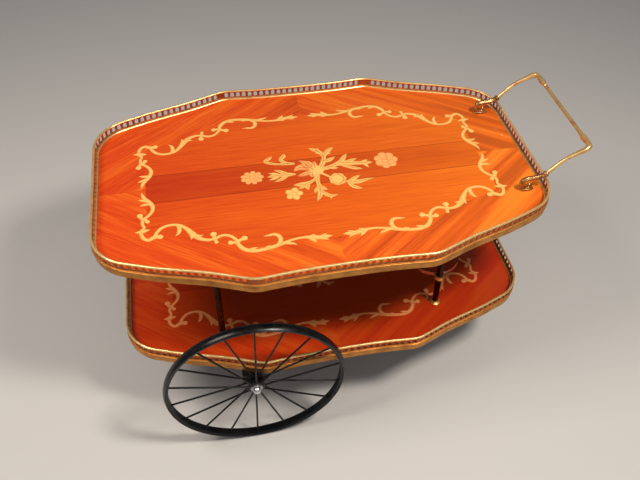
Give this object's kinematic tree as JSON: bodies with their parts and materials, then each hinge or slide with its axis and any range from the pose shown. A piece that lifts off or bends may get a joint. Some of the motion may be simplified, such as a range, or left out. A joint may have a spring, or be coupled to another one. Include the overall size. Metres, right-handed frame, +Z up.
{
  "type": "bar cart",
  "caption": "Two-tier bar cart with inlaid shaped trays, pierced brass galleries, large spoked wheels, swivel castors, bottle rings and a pull handle.",
  "frame": {"origin": "on the floor, under the middle of the whole cart, handle included", "axes": "+X runs towards the pull handle, +Y across the cart along the axle, +Z up"},
  "size_m": [0.8784, 0.5738, 0.5104],
  "materials": {
    "tray_board": "dark stained underside, satin",
    "field_veneer": "lengthwise veneer under high-gloss lacquer",
    "crossband_veneer": "diagonal crossbanded veneer under high-gloss lacquer",
    "aged_brass": "dull aged brass band",
    "polished_brass": "polished brass, lightly tarnished in the hollows",
    "bronzed_rod": "dark bronzed rod, semi-gloss",
    "black_steel": "black enamel, semi-gloss",
    "plain_steel": "plain turned steel",
    "chrome": "bright chrome",
    "wheel_rubber": "solid black rubber, satin",
    "castor_rubber": "grey-black rubber",
    "bush_plastic": "black nylon",
    "inlay_wood": "pale yellow marquetry wood under the same lacquer"
  },
  "bodies": {
    "root": {"upper_board": "tray_board", "upper_field_planks": "field_veneer", "upper_crossband": "crossband_veneer", "upper_edge_band": "aged_brass", "upper_gallery_handle_end": "polished_brass", "upper_gallery_wheel_end": "polished_brass", "upper_gallery_front": "polished_brass", "upper_gallery_back": "polished_brass", "lower_board": "tray_board", "lower_field_planks": "field_veneer", "lower_crossband": "crossband_veneer", "lower_edge_band": "aged_brass", "lower_gallery_handle_end": "polished_brass", "lower_gallery_wheel_end": "polished_brass", "lower_gallery_front": "polished_brass", "lower_gallery_back": "polished_brass", "leg_wheel_end_front": "bronzed_rod", "leg_wheel_end_back": "bronzed_rod", "leg_handle_end_front": "bronzed_rod", "leg_handle_end_back": "bronzed_rod", "leg_foot_collars": "polished_brass", "leg_top_collars": "polished_brass", "leg_nuts": "polished_brass", "bottle_ring_front": "polished_brass", "bottle_ring_middle": "polished_brass", "bottle_ring_back": "polished_brass", "bottle_ring_webs": "polished_brass", "bottle_ring_clamps": "polished_brass", "handle_bail": "polished_brass", "handle_bracket_front": "polished_brass", "handle_bracket_back": "polished_brass", "handle_screws": "polished_brass", "axle_bar": "black_steel", "axle_blocks": "black_steel", "axle_block_screws": "plain_steel", "axle_washers": "plain_steel", "axle_cap_nuts": "chrome", "castor_screws": "plain_steel", "castor_leg_front": "bronzed_rod", "castor_leg_back": "bronzed_rod"},
    "wheel_front": {"wheel_tyre_front": "wheel_rubber", "wheel_rim_front": "black_steel", "wheel_spokes_front": "black_steel", "wheel_hub_front": "black_steel", "wheel_bush_front": "bush_plastic"},
    "castor_front": {"castor_fork_front": "plain_steel", "castor_pin_front": "plain_steel"},
    "castor_roller_front": {"castor_wheel_front": "bush_plastic", "castor_tyre_front": "castor_rubber"},
    "wheel_back": {"wheel_tyre_back": "wheel_rubber", "wheel_rim_back": "black_steel", "wheel_spokes_back": "black_steel", "wheel_hub_back": "black_steel", "wheel_bush_back": "bush_plastic"},
    "castor_back": {"castor_fork_back": "plain_steel", "castor_pin_back": "plain_steel"},
    "castor_roller_back": {"castor_wheel_back": "bush_plastic", "castor_tyre_back": "castor_rubber"}
  },
  "joints": [
    {"name": "wheel_front_spin", "type": "hinge", "parent": "root", "child": "wheel_front", "pos_m": [-0.2012, -0.266, 0.164], "axis": [0, 1, 0], "continuous": true},
    {"name": "castor_front_swivel", "type": "hinge", "parent": "root", "child": "castor_front", "pos_m": [0.2138, -0.085, 0.058], "axis": [0, 0, 1], "continuous": true},
    {"name": "castor_front_roll", "type": "hinge", "parent": "castor_front", "child": "castor_roller_front", "pos_m": [0.1998, -0.085, 0.02], "axis": [0, 1, 0], "continuous": true},
    {"name": "wheel_back_spin", "type": "hinge", "parent": "root", "child": "wheel_back", "pos_m": [-0.2012, 0.266, 0.164], "axis": [0, 1, 0], "continuous": true},
    {"name": "castor_back_swivel", "type": "hinge", "parent": "root", "child": "castor_back", "pos_m": [0.2138, 0.085, 0.058], "axis": [0, 0, 1], "continuous": true},
    {"name": "castor_back_roll", "type": "hinge", "parent": "castor_back", "child": "castor_roller_back", "pos_m": [0.1998, 0.085, 0.02], "axis": [0, 1, 0], "continuous": true}
  ]
}
